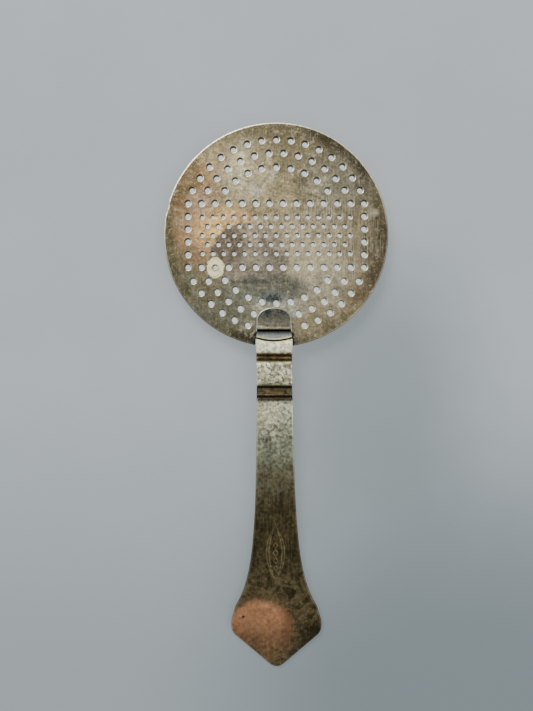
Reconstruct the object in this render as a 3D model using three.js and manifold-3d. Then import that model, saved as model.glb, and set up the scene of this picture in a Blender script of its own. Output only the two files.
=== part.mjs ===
// A hawthorne cocktail strainer, lying on its coil with the slightly domed face up.
// A perforated round plate carries a flat strip handle and, under its rim, a coil spring.
// Millimetres. +Z is up, +Y points from the handle to the nose of the plate.
// The origin is on the surface it lies on, below the middle of its length and width.

import * as THREE from 'three';
import { mergeVertices } from 'three/addons/utils/BufferGeometryUtils.js';
import Module from 'manifold-3d';

// Driving dimensions.
const PLATE_RADIUS = 42;
const PLATE_THICKNESS = 1.4;
const DOME_RISE = 0.6;
const HANDLE_REACH = 164; // from the plate's centre to the tip of the handle
const STRIP_THICKNESS = 1.3;
const BEND_RADIUS = 1; // of the strip's middle line
const GAP = 0.3; // left between the strip and the plate where they touch

// The coil lies just inside the rim and is what the plate stands on.
const COIL_WIDTH = 4;
const COIL_CLEARANCE = 0.5; // under the rim
const COIL_RADIUS = 39.7; // of the ring that the coil's middle follows
const NOSE_ARC = 58; // degrees from the nose, each way, that are pressed in
const SIDE_ARC_START = 66;
const SIDE_ARC_END = 166;
const TAIL_WIDTH = 0.8;
const TAIL_END_X = 1;
const TAIL_RISE = 0.3;

// Holes: the large ones frame a field of small ones.
const LARGE_HOLE_RADIUS = 1.4;
const SMALL_HOLE_RADIUS = 1;
const FRAME_HALF_WIDTH = 32.9;
const FRAME_HALF_HEIGHT = 11.9;
const FRAME_MIDDLE_Y = -0.35;
const FRAME_ROW_HOLES = 14;
const FRAME_SIDE_HOLES = 4;
const FIELD_ROWS = 5;
const FIELD_ROW_PITCH = 3.4;
const FIELD_PITCH = 3.93;
const FIELD_ROW_HOLES = 15;

// Arcs of large holes, with angles in degrees. The nose arcs reach as far each way from the nose,
// and the tongue arc from the handle. The tail arcs start beside the tongue, on both sides.
const NOSE_ARCS = [
  { radius: 35.4, reach: 62.3, holes: 15 },
  { radius: 30.4, reach: 57.1, holes: 12 },
  { radius: 25.1, reach: 49.6, holes: 9 },
];
const TAIL_ARCS = [
  { radius: 35.5, start: 17.3, reach: 60.6, holes: 6 },
  { radius: 30.7, start: 15.8, reach: 55.5, holes: 5 },
];
const TONGUE_ARC = { radius: 25.6, reach: 48.4, holes: 9 };

// The strip is woven through the plate: tongue on top, then down a slot, under a bridge
// that is part of the plate, and up through a notch in the rim.
// Distances here are measured from the plate's centre towards the handle.
const TONGUE_TIP = 27.3;
const TONGUE_HALF_WIDTH = 6.6;
const TONGUE_CAP = 5; // length of the tongue's rounded end
const SLOT_START = 33.6;
const SLOT_END = 36.2;
const SLOT_HALF_WIDTH = 6.95;
const NOTCH_HALF_WIDTH = 7.35;
const BRIDGE_MIDDLE = 39.4;
const BRIDGE_SIDE = 38.2;
const DIVE_START = 34.6;
const UNDER_BRIDGE_Z = 3.6;
const GROOVE_Z = 5.3;
const CREST_Z = 8.3;
const FLAT_START = 61.3;
const FLAT_START_Z = 6.95;

// Smoothness of the faceted curves.
const RIM_SIDES = 64;
const DOME_RINGS = 6;
const LARGE_HOLE_SIDES = 8;
const SMALL_HOLE_SIDES = 6;
const COIL_SIDES = 8;
const COIL_STEP_DEGREES = 5;
const BEND_STEPS = 5;
const OUTLINE_STEPS = 8;

const PLATE_Y = (HANDLE_REACH - PLATE_RADIUS) / 2;
const RIM_Z = COIL_WIDTH + COIL_CLEARANCE;

const wasm = await Module();
wasm.setup();

const radians = THREE.MathUtils.degToRad;

// Height of the plate's underside at a distance from its centre.
function undersideZ(distance) {
  return RIM_Z + DOME_RISE * (1 - (distance / PLATE_RADIUS) ** 2);
}

function topZ(distance) {
  return undersideZ(distance) + PLATE_THICKNESS;
}

// Triangles that close up to a line where a turned shape meets its axis are left out.
function toSolid(geometry) {
  const bare = geometry.clone();
  bare.deleteAttribute('normal');
  bare.deleteAttribute('uv');
  const merged = mergeVertices(bare, 1e-5);
  const triVerts = [];
  for (let i = 0; i < merged.index.count; i += 3) {
    const corners = merged.index.array.slice(i, i + 3);
    if (new Set(corners).size === 3) triVerts.push(...corners);
  }
  return new wasm.Manifold(new wasm.Mesh({
    numProp: 3,
    vertProperties: merged.attributes.position.array,
    triVerts: new Uint32Array(triVerts),
  }));
}

function toGeometry(solid) {
  const mesh = solid.getMesh();
  const geometry = new THREE.BufferGeometry();
  geometry.setAttribute('position', new THREE.BufferAttribute(mesh.vertProperties, mesh.numProp));
  geometry.setIndex(new THREE.BufferAttribute(mesh.triVerts, 1));
  geometry.computeVertexNormals();
  return geometry;
}

// A point at a radius and an angle from the nose, clockwise seen from above.
function polar(radius, degrees) {
  return new THREE.Vector2(radius * Math.sin(radians(degrees)), radius * Math.cos(radians(degrees)));
}

// Evenly spaced values from first to last.
function spread(first, last, count) {
  return Array.from({ length: count }, (_, i) => first + ((last - first) * i) / (count - 1));
}

// A regular polygon for a round hole or section, with its first corner to the right.
function roundShape(centre, radius, sides) {
  const points = [];
  for (let i = 0; i < sides; i += 1) {
    points.push(polar(radius, 90 - (360 * i) / sides).add(centre));
  }
  return new THREE.Shape(points);
}

function largeHoleCentres() {
  const centres = [];
  for (const arc of NOSE_ARCS) {
    for (const angle of spread(-arc.reach, arc.reach, arc.holes)) {
      centres.push(polar(arc.radius, angle));
    }
  }
  for (const arc of TAIL_ARCS) {
    for (const angle of spread(arc.start, arc.reach, arc.holes)) {
      centres.push(polar(arc.radius, 180 - angle), polar(arc.radius, 180 + angle));
    }
  }
  for (const angle of spread(-TONGUE_ARC.reach, TONGUE_ARC.reach, TONGUE_ARC.holes)) {
    centres.push(polar(TONGUE_ARC.radius, 180 + angle));
  }
  const frameTop = FRAME_MIDDLE_Y + FRAME_HALF_HEIGHT;
  const frameBottom = FRAME_MIDDLE_Y - FRAME_HALF_HEIGHT;
  for (const x of spread(-FRAME_HALF_WIDTH, FRAME_HALF_WIDTH, FRAME_ROW_HOLES)) {
    centres.push(new THREE.Vector2(x, frameTop), new THREE.Vector2(x, frameBottom));
  }
  for (const y of spread(frameBottom, frameTop, FRAME_SIDE_HOLES + 2).slice(1, -1)) {
    centres.push(new THREE.Vector2(FRAME_HALF_WIDTH, y), new THREE.Vector2(-FRAME_HALF_WIDTH, y));
  }
  return centres;
}

// A staggered field: every other row has one hole less and sits half a pitch in.
function smallHoleCentres() {
  const centres = [];
  for (let row = 0; row < FIELD_ROWS; row += 1) {
    const holes = FIELD_ROW_HOLES - (row % 2);
    const y = FRAME_MIDDLE_Y + (row - (FIELD_ROWS - 1) / 2) * FIELD_ROW_PITCH;
    const reach = ((holes - 1) / 2) * FIELD_PITCH;
    for (const x of spread(-reach, reach, holes)) {
      centres.push(new THREE.Vector2(x, y));
    }
  }
  return centres;
}

// The cut in the rim where the handle comes up: its inner edge is the bridge's bowed edge.
function notchShape() {
  const outside = PLATE_RADIUS + 1;
  const shape = new THREE.Shape();
  shape.moveTo(-NOTCH_HALF_WIDTH, -outside);
  shape.lineTo(NOTCH_HALF_WIDTH, -outside);
  shape.lineTo(NOTCH_HALF_WIDTH, -BRIDGE_SIDE);
  shape.quadraticCurveTo(0, BRIDGE_SIDE - 2 * BRIDGE_MIDDLE, -NOTCH_HALF_WIDTH, -BRIDGE_SIDE);
  return shape;
}

function slotShape() {
  return new THREE.Shape([
    new THREE.Vector2(-SLOT_HALF_WIDTH, -SLOT_END),
    new THREE.Vector2(SLOT_HALF_WIDTH, -SLOT_END),
    new THREE.Vector2(SLOT_HALF_WIDTH, -SLOT_START),
    new THREE.Vector2(-SLOT_HALF_WIDTH, -SLOT_START),
  ]);
}

// A slightly domed disc of even thickness, turned about its axis.
function domeGeometry() {
  const distances = spread(0, PLATE_RADIUS, DOME_RINGS + 1);
  const under = distances.map((distance) => new THREE.Vector2(distance, undersideZ(distance)));
  const top = distances.map((distance) => new THREE.Vector2(distance, topZ(distance)));
  return new THREE.LatheGeometry([...under, ...top.reverse()], RIM_SIDES).rotateX(Math.PI / 2);
}

function plateGeometry() {
  const cuts = [slotShape(), notchShape()];
  for (const centre of largeHoleCentres()) {
    cuts.push(roundShape(centre, LARGE_HOLE_RADIUS, LARGE_HOLE_SIDES));
  }
  for (const centre of smallHoleCentres()) {
    cuts.push(roundShape(centre, SMALL_HOLE_RADIUS, SMALL_HOLE_SIDES));
  }
  const depth = RIM_Z + DOME_RISE + 2 * PLATE_THICKNESS;
  const cutters = new THREE.ExtrudeGeometry(cuts, { depth, bevelEnabled: false });
  return toGeometry(toSolid(domeGeometry()).subtract(toSolid(cutters)));
}

// Corners of the strip's middle line seen from the side: [distance, height].
function stripCorners() {
  const overPlate = GAP + STRIP_THICKNESS / 2;
  return [
    [TONGUE_TIP, topZ(TONGUE_TIP) + overPlate],
    [DIVE_START, topZ(DIVE_START) + overPlate],
    [35.4, UNDER_BRIDGE_Z],
    [40.3, UNDER_BRIDGE_Z],
    [40.8, CREST_Z],
    [43.5, CREST_Z],
    [45.1, GROOVE_Z],
    [46.7, GROOVE_Z],
    [48.3, CREST_Z],
    [55.3, CREST_Z],
    [57, GROOVE_Z],
    [60.3, GROOVE_Z],
    [FLAT_START, FLAT_START_Z],
    [HANDLE_REACH, STRIP_THICKNESS / 2],
  ].map(([distance, height]) => new THREE.Vector2(distance, height));
}

// The middle line with each corner rounded, as points with the direction of travel there.
function roundedLine(corners, radius) {
  const line = [];
  const first = corners[1].clone().sub(corners[0]).normalize();
  line.push({ point: corners[0], direction: first });
  for (let i = 1; i < corners.length - 1; i += 1) {
    const before = corners[i].clone().sub(corners[i - 1]).normalize();
    const after = corners[i + 1].clone().sub(corners[i]).normalize();
    const turn = Math.atan2(before.cross(after), before.dot(after));
    const tangentLength = radius * Math.tan(Math.abs(turn) / 2);
    const start = corners[i].clone().addScaledVector(before, -tangentLength);
    const side = Math.sign(turn) * radius;
    const centre = start.clone().add(new THREE.Vector2(-before.y, before.x).multiplyScalar(side));
    for (let step = 0; step <= BEND_STEPS; step += 1) {
      const angle = (turn * step) / BEND_STEPS;
      line.push({
        point: start.clone().rotateAround(centre, angle),
        direction: before.clone().rotateAround(new THREE.Vector2(), angle),
      });
    }
  }
  const last = corners.at(-1).clone().sub(corners.at(-2)).normalize();
  line.push({ point: corners.at(-1), direction: last });
  return line;
}

// The strip seen from the side, as a closed shape of even thickness.
function stripSide() {
  const upper = [];
  const lower = [];
  for (const { point, direction } of roundedLine(stripCorners(), BEND_RADIUS)) {
    const normal = new THREE.Vector2(-direction.y, direction.x).multiplyScalar(STRIP_THICKNESS / 2);
    upper.push(point.clone().add(normal));
    lower.push(point.clone().sub(normal));
  }
  return new THREE.Shape([...lower, ...upper.reverse()]);
}

// The strip seen from above: a round tongue, a narrow neck, a flared end and a blunt point.
function stripOutline() {
  const right = new THREE.Path();
  right.moveTo(0, TONGUE_TIP);
  const capEnd = TONGUE_TIP + TONGUE_CAP;
  right.absellipse(0, capEnd, TONGUE_HALF_WIDTH, TONGUE_CAP, -Math.PI / 2, 0, false);
  right.lineTo(TONGUE_HALF_WIDTH, SLOT_END);
  right.bezierCurveTo(7, 38.5, 7, 39, 7, 41);
  right.bezierCurveTo(7, 46, 6.65, 50, 6.6, 62);
  right.bezierCurveTo(7.1, 98, 7.3, 101, 8.2, 112);
  right.bezierCurveTo(10.1, 134.6, 15.3, 139.2, 15.7, 141);
  right.bezierCurveTo(16.4, 144, 17.2, 145.2, 17.2, 147.2);
  right.bezierCurveTo(17.2, 149.4, 16.7, 150.7, 15.4, 151.8);
  right.lineTo(2.7, 162.9);
  right.bezierCurveTo(1.9, 163.6, 1, HANDLE_REACH, 0, HANDLE_REACH);
  const half = right.getPoints(OUTLINE_STEPS);
  const other = half.slice(1, -1).map((point) => new THREE.Vector2(-point.x, point.y));
  return new THREE.Shape([...half, ...other.reverse()]);
}

// The side shape drawn through the width meets the outline drawn through the height.
function handleGeometry() {
  const halfWidth = 30;
  const height = 30;
  const side = new THREE.ExtrudeGeometry(stripSide(), { depth: 2 * halfWidth, bevelEnabled: false });
  const sideToPart = new THREE.Matrix4().makeBasis(
    new THREE.Vector3(0, -1, 0),
    new THREE.Vector3(0, 0, 1),
    new THREE.Vector3(-1, 0, 0),
  );
  side.translate(0, 0, -halfWidth);
  side.applyMatrix4(sideToPart);
  const plan = new THREE.ExtrudeGeometry(stripOutline(), { depth: height, bevelEnabled: false });
  const planToPart = new THREE.Matrix4().makeBasis(
    new THREE.Vector3(-1, 0, 0),
    new THREE.Vector3(0, -1, 0),
    new THREE.Vector3(0, 0, 1),
  );
  plan.translate(0, 0, -height / 2);
  plan.applyMatrix4(planToPart);
  return toGeometry(toSolid(side).intersect(toSolid(plan)));
}

function roundSection(width) {
  return roundShape(new THREE.Vector2(), width / 2, COIL_SIDES);
}

// The outer shape of a stretch of the coil, between two angles from the nose.
function coilArc(fromDegrees, toDegrees) {
  const steps = Math.round(Math.abs(toDegrees - fromDegrees) / COIL_STEP_DEGREES);
  const path = new THREE.CatmullRomCurve3(spread(fromDegrees, toDegrees, steps + 1).map((angle) => {
    const point = polar(COIL_RADIUS, angle);
    return new THREE.Vector3(point.x, point.y, COIL_WIDTH / 2);
  }));
  return new THREE.ExtrudeGeometry(roundSection(COIL_WIDTH), { steps, extrudePath: path });
}

// A side of the coil ends in a straight tail of bare wire that runs in under the strip.
function coilSide(side) {
  const end = polar(COIL_RADIUS, SIDE_ARC_END);
  const path = new THREE.LineCurve3(
    new THREE.Vector3(side * (end.x + TAIL_WIDTH), end.y, COIL_WIDTH / 2),
    new THREE.Vector3(side * TAIL_END_X, end.y, COIL_WIDTH / 2 + TAIL_RISE),
  );
  const tail = new THREE.ExtrudeGeometry(roundSection(TAIL_WIDTH), { steps: 1, extrudePath: path });
  const arc = coilArc(side * SIDE_ARC_START, side * SIDE_ARC_END);
  return toGeometry(toSolid(arc).add(toSolid(tail)));
}

const tarnishedSilver = new THREE.MeshStandardMaterial({ color: 0x8f8872, roughness: 0.42, metalness: 0.9 });
const wornSilver = new THREE.MeshStandardMaterial({ color: 0xa39c84, roughness: 0.4, metalness: 0.9 });
const springSteel = new THREE.MeshStandardMaterial({ color: 0x8c8c88, roughness: 0.35, metalness: 1 });

function addMesh(group, name, geometry, material) {
  const mesh = new THREE.Mesh(geometry, material.clone());
  mesh.name = name;
  group.add(mesh);
}

const strainer = new THREE.Group();
strainer.position.y = PLATE_Y;
addMesh(strainer, 'plate', plateGeometry(), tarnishedSilver);
addMesh(strainer, 'handle', handleGeometry(), wornSilver);
addMesh(strainer, 'coil_front', coilArc(-NOSE_ARC, NOSE_ARC), springSteel);
addMesh(strainer, 'coil_right', coilSide(1), springSteel);
addMesh(strainer, 'coil_left', coilSide(-1), springSteel);

export default strainer;
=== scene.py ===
"""A worn, tarnished hawthorne strainer: a perforated plate, a strip handle and a coil spring.

Shapes are worked out in millimetres from the plate's centre, with +y towards the nose and
heights above the surface that the strainer lies on, and are written in metres.
"""

import math

import bmesh
import bpy
import numpy as np
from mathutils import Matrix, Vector, geometry, noise


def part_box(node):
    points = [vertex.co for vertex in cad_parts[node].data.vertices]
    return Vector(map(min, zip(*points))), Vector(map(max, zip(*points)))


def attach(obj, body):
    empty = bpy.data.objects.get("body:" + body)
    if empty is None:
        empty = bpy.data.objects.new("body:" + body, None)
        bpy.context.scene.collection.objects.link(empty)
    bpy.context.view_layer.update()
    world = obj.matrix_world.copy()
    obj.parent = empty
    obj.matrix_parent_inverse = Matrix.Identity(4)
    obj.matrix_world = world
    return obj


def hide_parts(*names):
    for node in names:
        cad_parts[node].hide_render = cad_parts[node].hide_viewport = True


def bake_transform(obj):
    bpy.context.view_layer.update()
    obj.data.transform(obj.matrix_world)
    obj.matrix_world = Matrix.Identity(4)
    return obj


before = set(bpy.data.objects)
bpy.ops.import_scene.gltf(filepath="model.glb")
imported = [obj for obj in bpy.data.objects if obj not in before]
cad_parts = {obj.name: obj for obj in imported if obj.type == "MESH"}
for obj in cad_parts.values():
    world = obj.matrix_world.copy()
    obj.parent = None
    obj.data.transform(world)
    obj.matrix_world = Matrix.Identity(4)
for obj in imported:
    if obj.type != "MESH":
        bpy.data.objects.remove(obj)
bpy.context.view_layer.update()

MM = 0.001

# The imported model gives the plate's size and place, and how far the handle reaches.
plate_low, plate_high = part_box("plate")
handle_low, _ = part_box("handle")
RIM = (plate_high[0] - plate_low[0]) / 2 / MM
CENTRE_Y = plate_high[1] / MM - RIM
RIM_UNDER_Z = plate_low[2] / MM
REACH = CENTRE_Y - handle_low[1] / MM

# The plate. A hole's radius is its wall's, and its bevel widens it at both faces.
PLATE_THICKNESS = 1.4
DOME_RISE = 0.6
LARGE_HOLE = 1.1
SMALL_HOLE = 0.76
CLOGGED_HOLE = 0.8
CLEANED_SPOT = (-22.6, -12.5)
HOLE_TAPER = 0.12
HOLE_LIP = 0.03
LARGE_BEVEL = 0.27
SMALL_BEVEL = 0.2
SLOT_BEVEL = 0.3
RIM_BEVEL = 0.5
CORNER = 0.35

# The dent in the rim, and where the plate is swollen over the strip.
DENT = (-0.975 * RIM, 0.235 * RIM)
DENT_DEPTH = 0.45
DENT_REACH = 1.4
SWELLING = 0.28
SWELLING_MIDDLE = 38
SWELLING_REACH = 1.25
SWELLING_HALF_WIDTH = 7.2

# The holes: a frame of large ones round a field of small ones, and arcs of large ones beyond
# it. An arc has a radius, a reach in degrees each way and a count; the tail's start off middle.
FRAME_HALF_WIDTH = 32.9
FRAME_HALF_HEIGHT = 11.9
FRAME_MIDDLE_Y = -0.35
FIELD_PITCH = 3.93
FIELD_ROW_PITCH = 3.4
NOSE_ARCS = [(35.4, 62.3, 15), (30.4, 57.1, 12), (25.1, 49.6, 9)]
TAIL_ARCS = [(35.5, 17.3, 60.6, 6), (30.7, 15.8, 55.5, 5)]
TONGUE_ARC = (25.6, 48.4, 9)

# The slot's start, end and half width, and the bridge between it and the notch in the rim.
SLOT = (33.6, 36.2, 6.75)
NOTCH_HALF_WIDTH = 7.02
BRIDGE_MIDDLE = 39.45
BRIDGE_SIDE = 38.2

# The strip. Distances along it start at the plate's centre.
STRIP_THICKNESS = 1.3
STRIP_BEVEL = 0.4
BEND_RADIUS = 1
STEP_RADIUS = 1.3
TONGUE_TIP = 27.3
TONGUE_HALF_WIDTH = 6.6
TONGUE_CAP = 5
SEATED = 0.06
ASKEW = 0.0085
STRAIGHT_FROM = 125
BOW = 1.2
FLAT_START = 61.3
STAMP_MIDDLE = 119.5
STAMP_HALF_LENGTH = 10.5
STAMP_HALF_WIDTH = 3.4
STAMP_DEPTH = 0.16

# The coil.
COIL_RING = 39.7
COIL_WIDTH = 4
WIRE = 0.7
COIL_END_ANGLE = 166
COIL_TURNS = 116
STEPS_PER_TURN = 18

# How closely the sheets' faces and the round edges are divided.
LARGE_SIDES = 28
SMALL_SIDES = 20
SLOT_PITCH = 0.8
PLATE_PITCH = 1.3
STRIP_PITCH = 1.1
STAMP_PITCH = 0.16

# The camera, over the handle's neck.
CAMERA_X = -3.55
CAMERA_Y = -45.18
CAMERA_HEIGHT = 199


# ---- outlines


def polar(radius, degrees):
    """A point at an angle from the nose, clockwise seen from above."""
    angle = math.radians(degrees)
    return Vector((radius * math.sin(angle), radius * math.cos(angle)))


def spread(first, last, count):
    return [first + (last - first) * i / (count - 1) for i in range(count)]


def circle(centre, radius, sides):
    return [centre + polar(radius, -360 * i / sides) for i in range(sides)]


def cross(a, b):
    return a.x * b.y - a.y * b.x


def turned(arm, angle):
    cos, sin = math.cos(angle), math.sin(angle)
    return Vector((arm.x * cos - arm.y * sin, arm.x * sin + arm.y * cos))


def rounded_corner(before, corner, after, radius, steps):
    """Points and directions of travel round one corner, on an arc that touches both sides."""
    way_in = (corner - before).normalized()
    way_out = (after - corner).normalized()
    turn = math.atan2(cross(way_in, way_out), way_in.dot(way_out))
    start = corner - way_in * radius * math.tan(abs(turn) / 2)
    side = math.copysign(radius, turn)
    centre = start + Vector((-way_in.y, way_in.x)) * side
    angles = [turn * step / steps for step in range(steps + 1)]
    return [(centre + turned(start - centre, angle), turned(way_in, angle)) for angle in angles]


def rounded_polygon(corners, radius, steps=5):
    """A closed outline with its sharp corners rounded; nearly straight ones stay as they are."""
    points = []
    for i, corner in enumerate(corners):
        before, after = corners[i - 1], corners[(i + 1) % len(corners)]
        turn = (corner - before).angle(after - corner)
        if turn < math.radians(20):
            points.append(corner)
        else:
            points += [p for p, _ in rounded_corner(before, corner, after, radius, steps)]
    return points


def bezier(a, b, c, d, steps):
    return [
        a * (1 - t) ** 3 + b * 3 * t * (1 - t) ** 2 + c * 3 * t * t * (1 - t) + d * t**3
        for t in spread(0, 1, steps + 1)
    ]


# ---- meshes


def in_scene(name, data):
    piece = bpy.data.objects.new(name, data)
    bpy.context.collection.objects.link(piece)
    return piece


def finished_piece(name, bm):
    bmesh.ops.recalc_face_normals(bm, faces=bm.faces)
    mesh = bpy.data.meshes.new(name)
    bm.to_mesh(mesh)
    bm.free()
    mesh.shade_smooth()
    piece = in_scene(name, mesh)
    piece.modifiers.new("even_shading", "WEIGHTED_NORMAL").keep_sharp = True
    return piece


def join_rings(bm, lower, upper):
    for i in range(len(lower)):
        j = (i + 1) % len(lower)
        bm.faces.new((lower[i], lower[j], upper[j], upper[i]))


# ---- sheet metal


def into_metal(loop, is_hole):
    """A direction at each point of a counterclockwise loop, pointing into the sheet."""
    side = -1 if is_hole else 1
    directions = []
    for i in range(len(loop)):
        along = (loop[(i + 1) % len(loop)] - loop[i - 1]).normalized()
        directions.append(Vector((-along.y, along.x)) * side)
    return directions


def edge_profile(thickness, radius, lip, taper, steps=4):
    """Offsets into the metal with heights, from the lower face round the edge to the upper one."""
    margin = radius + 0.2
    bend = [math.pi / 2 * i / steps for i in range(steps + 1)]
    arc = [(radius * (1 - math.sin(a)), radius * (1 - math.cos(a))) for a in bend]
    lower = [(offset - taper, height) for offset, height in arc]
    upper = [(offset, thickness + lip - height) for offset, height in reversed(arc)]
    return [(margin, 0.0), *lower, *upper, (margin, thickness)]


def inside_metal(points, loops):
    """Whether each point lies inside an odd number of loops."""
    inside = np.zeros(len(points), bool)
    x, y = points[:, 0], points[:, 1]
    for loop in loops:
        ends = np.array(loop)
        starts = np.roll(ends, 1, axis=0)
        low, high = ends.min(axis=0), ends.max(axis=0)
        near = (x >= low[0]) & (x <= high[0]) & (y >= low[1]) & (y <= high[1])
        for index in np.nonzero(near)[0]:
            crosses = (starts[:, 1] > y[index]) != (ends[:, 1] > y[index])
            s, e = starts[crosses], ends[crosses]
            at = s[:, 0] + (y[index] - s[:, 1]) / (e[:, 1] - s[:, 1]) * (e[:, 0] - s[:, 0])
            if np.count_nonzero(at > x[index]) % 2:
                inside[index] = not inside[index]
    return inside


def clear_of(points, boundary, distance):
    """Whether each point is further than a distance from every boundary point."""
    clear = np.ones(len(points), bool)
    for start in range(0, len(points), 500):
        block = points[start : start + 500]
        gaps = np.hypot(
            block[:, None, 0] - boundary[None, :, 0], block[:, None, 1] - boundary[None, :, 1]
        )
        clear[start : start + 500] = gaps.min(axis=1) > distance
    return clear


def lip_highlight(into):
    """Painted highlight on a hole's upper edge, strongest at its lower right, which faces the light."""
    return max(0, 0.8 * into.x - 0.8 * into.y)


def wall_shade(into):
    """Painted shade on a hole's wall, darkest at its upper side, away from the light."""
    return max(0, min(1, 0.25 + into.y - 0.15 * into.x))


def sheet_piece(name, loops, filling, clearance, place, thickness):
    """A piece of sheet metal with rounded edges.

    loops holds (points, is_hole, edge radius, lip, how much wear and painted highlight its edge
    takes), the outline first; filling holds the points between them, which keep a clearance from
    the edges; place turns a flat position and a height in the sheet into a place in space.
    """
    bm = bmesh.new()
    worn = bm.verts.layers.float.new("edge")
    cut = bm.verts.layers.float.new("wall")
    rims, rim_points, rim_edges, flat_loops = [], [], [], []
    for points, is_hole, radius, lip, shine in loops:
        directions = into_metal(points, is_hole)
        profile = edge_profile(thickness, radius, lip, HOLE_TAPER if lip else 0)
        rings = [
            [bm.verts.new(place(p.x + d.x * offset, p.y + d.y * offset, height))
             for p, d in zip(points, directions)]
            for offset, height in profile
        ]
        # The edge layer marks worn edges, which the paints also brighten as painted highlight; on the
        # holes it is a painted highlight at each lip's lower right.
        for ring in rings[len(rings) // 2 : -1]:
            for vert, d in zip(ring, directions):
                vert[worn] = shine * (lip_highlight(d) if is_hole else 1)
        # The wall layer is painted shade on the holes' walls, darkest at their upper sides.
        for ring in rings[1:-2]:
            for vert, d in zip(ring, directions):
                vert[cut] = wall_shade(d) if is_hole else 0
        for lower, upper in zip(rings, rings[1:]):
            join_rings(bm, lower, upper)
        first, count, margin = len(rim_points), len(points), profile[0][0]
        rim_points += [p + d * margin for p, d in zip(points, directions)]
        rim_edges += [(first + i, first + (i + 1) % count) for i in range(count)]
        flat_loops.append(rim_points[first:])
        rims += list(zip(rings[0], rings[-1]))
    candidates = np.array(filling)
    boundary = np.array(rim_points)
    candidates = candidates[clear_of(candidates, boundary, clearance)]
    candidates = candidates[inside_metal(candidates, flat_loops)]
    flat = rim_points + [Vector(p) for p in candidates]
    points, _, faces, origins, _, _ = geometry.delaunay_2d_cdt(flat, rim_edges, [], 0, 1e-7)
    corners = np.array(points)
    middles = np.array([corners[list(face)].mean(axis=0) for face in faces])
    kept = inside_metal(middles, flat_loops)
    pairs = [rims[o[0]] if o and o[0] < len(rims) else None for o in origins]
    for face, keep in zip(faces, kept):
        if not keep:
            continue
        for i in face:
            if pairs[i] is None:
                x, y = points[i]
                pairs[i] = (bm.verts.new(place(x, y, 0)), bm.verts.new(place(x, y, thickness)))
        bm.faces.new([pairs[i][1] for i in face])
        bm.faces.new([pairs[i][0] for i in reversed(face)])
    return finished_piece(name, bm)


# ---- plate


def large_hole_centres():
    centres = []
    for radius, reach, count in NOSE_ARCS:
        centres += [polar(radius, angle) for angle in spread(-reach, reach, count)]
    for radius, start, reach, count in TAIL_ARCS:
        for angle in spread(start, reach, count):
            centres += [polar(radius, 180 - angle), polar(radius, 180 + angle)]
    radius, reach, count = TONGUE_ARC
    centres += [polar(radius, 180 + angle) for angle in spread(-reach, reach, count)]
    bottom, top = FRAME_MIDDLE_Y - FRAME_HALF_HEIGHT, FRAME_MIDDLE_Y + FRAME_HALF_HEIGHT
    for x in spread(-FRAME_HALF_WIDTH, FRAME_HALF_WIDTH, 14):
        centres += [Vector((x, top)), Vector((x, bottom))]
    for y in spread(bottom, top, 6)[1:-1]:
        centres += [Vector((FRAME_HALF_WIDTH, y)), Vector((-FRAME_HALF_WIDTH, y))]
    return centres


def small_hole_centres():
    centres = []
    for row in range(5):
        count = 15 - row % 2
        reach = (count - 1) / 2 * FIELD_PITCH
        y = FRAME_MIDDLE_Y + (row - 2) * FIELD_ROW_PITCH
        centres += [Vector((x, y)) for x in spread(-reach, reach, count)]
    return centres


def askew(distance):
    """How far to the left the strip's middle runs: it was set on slightly turned."""
    return ASKEW * (STRAIGHT_FROM - distance)


def on_dome(x, y, height):
    """The plate's surface: hardly domed, uneven, swollen over the strip and dented at its rim."""
    away = Vector((x, y)) - Vector(DENT)
    x += DENT_DEPTH * math.exp(-away.length_squared / DENT_REACH**2)
    over_strip = max(0.0, 1 - ((x + askew(-y)) / SWELLING_HALF_WIDTH) ** 4)
    band = math.exp(-(((-y - SWELLING_MIDDLE) / SWELLING_REACH) ** 2))
    height += SWELLING * over_strip * band
    uneven = 0.07 * noise.noise(Vector((x / 11, y / 11, 3)))
    uneven += 0.03 * noise.noise(Vector((x / 4, y / 4, 8)))
    z = RIM_UNDER_Z + DOME_RISE * (1 - (x * x + y * y) / RIM**2) + height + uneven
    return Vector((x, y + CENTRE_Y, z)) * MM


def plate_outline():
    notch = math.degrees(math.asin(NOTCH_HALF_WIDTH / RIM))
    skew = math.degrees(askew(BRIDGE_SIDE) / RIM)
    corners = [polar(RIM, 180 + skew - notch - i * (360 - 2 * notch) / 300) for i in range(301)]
    bow = 2 * BRIDGE_MIDDLE - BRIDGE_SIDE
    for t in spread(0, 1, 17):
        x = NOTCH_HALF_WIDTH * (2 * t - 1) - askew(BRIDGE_SIDE)
        y = -(BRIDGE_SIDE * (1 - t) ** 2 + 2 * bow * t * (1 - t) + BRIDGE_SIDE * t * t)
        corners.append(Vector((x, y)))
    return rounded_polygon(corners, CORNER)


def slot_outline():
    start, end, half = SLOT
    left, right = -half - askew(end), half - askew(end)
    slot = [Vector(c) for c in ((left, -end), (right, -end), (right, -start), (left, -start))]
    along = []
    for a, b in zip(slot, slot[1:] + slot[:1]):
        pieces = max(1, round((b - a).length / SLOT_PITCH))
        along += [a.lerp(b, i / pieces) for i in range(pieces)]
    return rounded_polygon(along, CORNER)


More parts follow.
